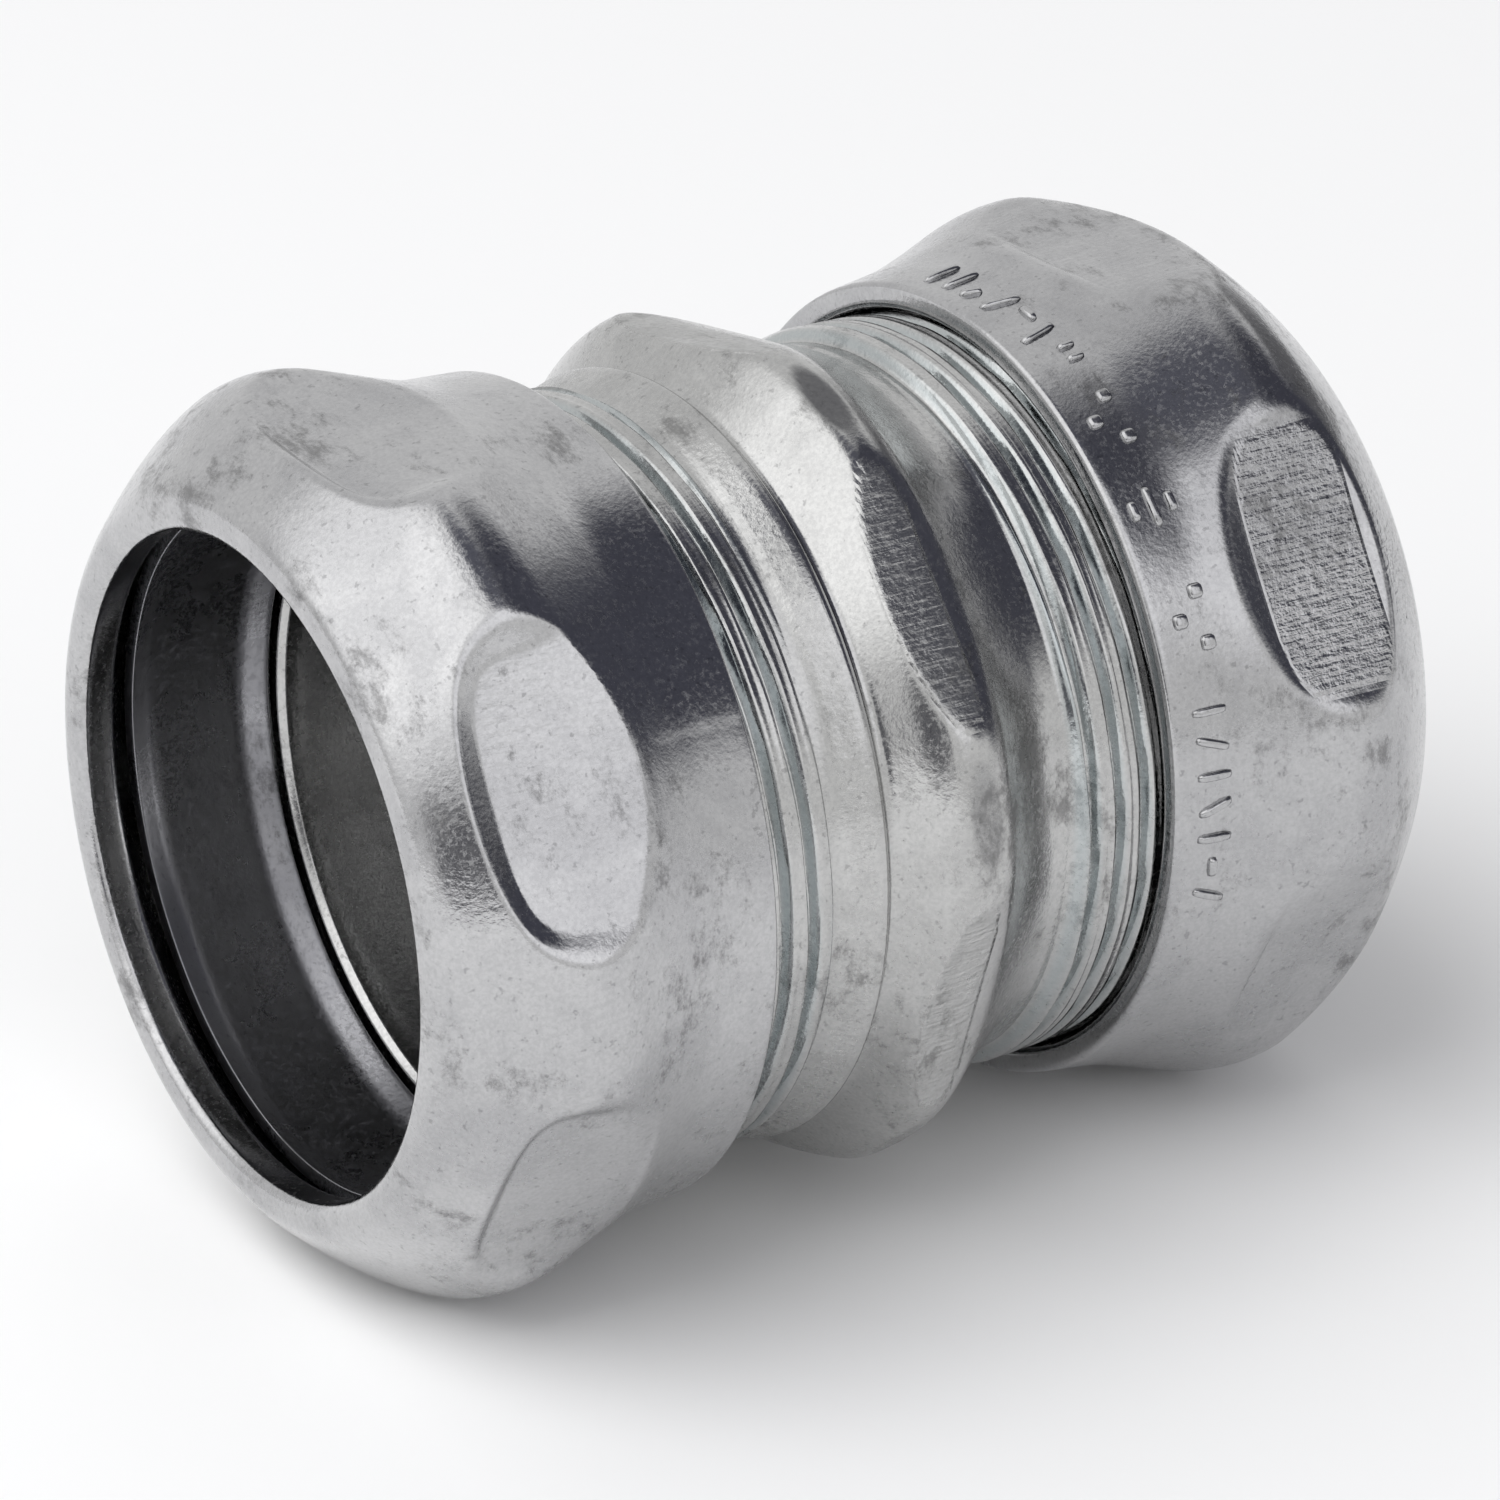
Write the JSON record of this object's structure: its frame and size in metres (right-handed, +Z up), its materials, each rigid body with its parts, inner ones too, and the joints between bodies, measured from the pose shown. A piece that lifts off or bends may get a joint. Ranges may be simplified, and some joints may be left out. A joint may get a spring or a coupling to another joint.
{
  "type": "conduit compression coupling",
  "caption": "Steel coupling that joins two ends of thin-wall conduit: a tubular body with a hexagonal middle and, at each end, a hexagonal compression nut over a split ring.",
  "frame": {"origin": "middle of the fitting on its axis, half way between the two lip faces", "axes": "+X along the axis to the right-hand nut, +Z up with the fitting lying on a flat of its left-hand nut"},
  "size_m": [0.0684, 0.0548, 0.0524],
  "materials": {
    "threaded_body": "zinc plated, clear chromate, rolled threads",
    "compression_nut": "zinc plated, drawn and pressed",
    "compression_ring": "zinc plated spring strip"
  },
  "bodies": {
    "coupling": {"coupling_body": "threaded_body"},
    "left_ring": {"left_compression_ring": "compression_ring"},
    "left_nut": {"left_compression_nut": "compression_nut"},
    "right_ring": {"right_compression_ring": "compression_ring"},
    "right_nut": {"right_compression_nut": "compression_nut"}
  },
  "joints": [
    {"name": "left_ring_travel", "type": "slide", "parent": "coupling", "child": "left_ring", "axis": [1, 0, 0], "range_m": [-0.00725, 0.0002]},
    {"name": "left_nut_turn", "type": "hinge", "parent": "left_ring", "child": "left_nut", "pos_m": [-0.02585, 0, 0], "axis": [1, 0, 0], "range_deg": [-720, 18]},
    {"name": "right_ring_travel", "type": "slide", "parent": "coupling", "child": "right_ring", "axis": [-1, 0, 0], "range_m": [-0.00725, 0.0002]},
    {"name": "right_nut_turn", "type": "hinge", "parent": "right_ring", "child": "right_nut", "pos_m": [0.02585, 0, 0], "axis": [-1, 0, 0], "range_deg": [-720, 18]}
  ],
  "couplings": [
    {"joint": "left_ring_travel", "follows": "left_nut_turn", "m_per_rad": 0.00057296},
    {"joint": "right_ring_travel", "follows": "right_nut_turn", "m_per_rad": 0.00057296}
  ]
}
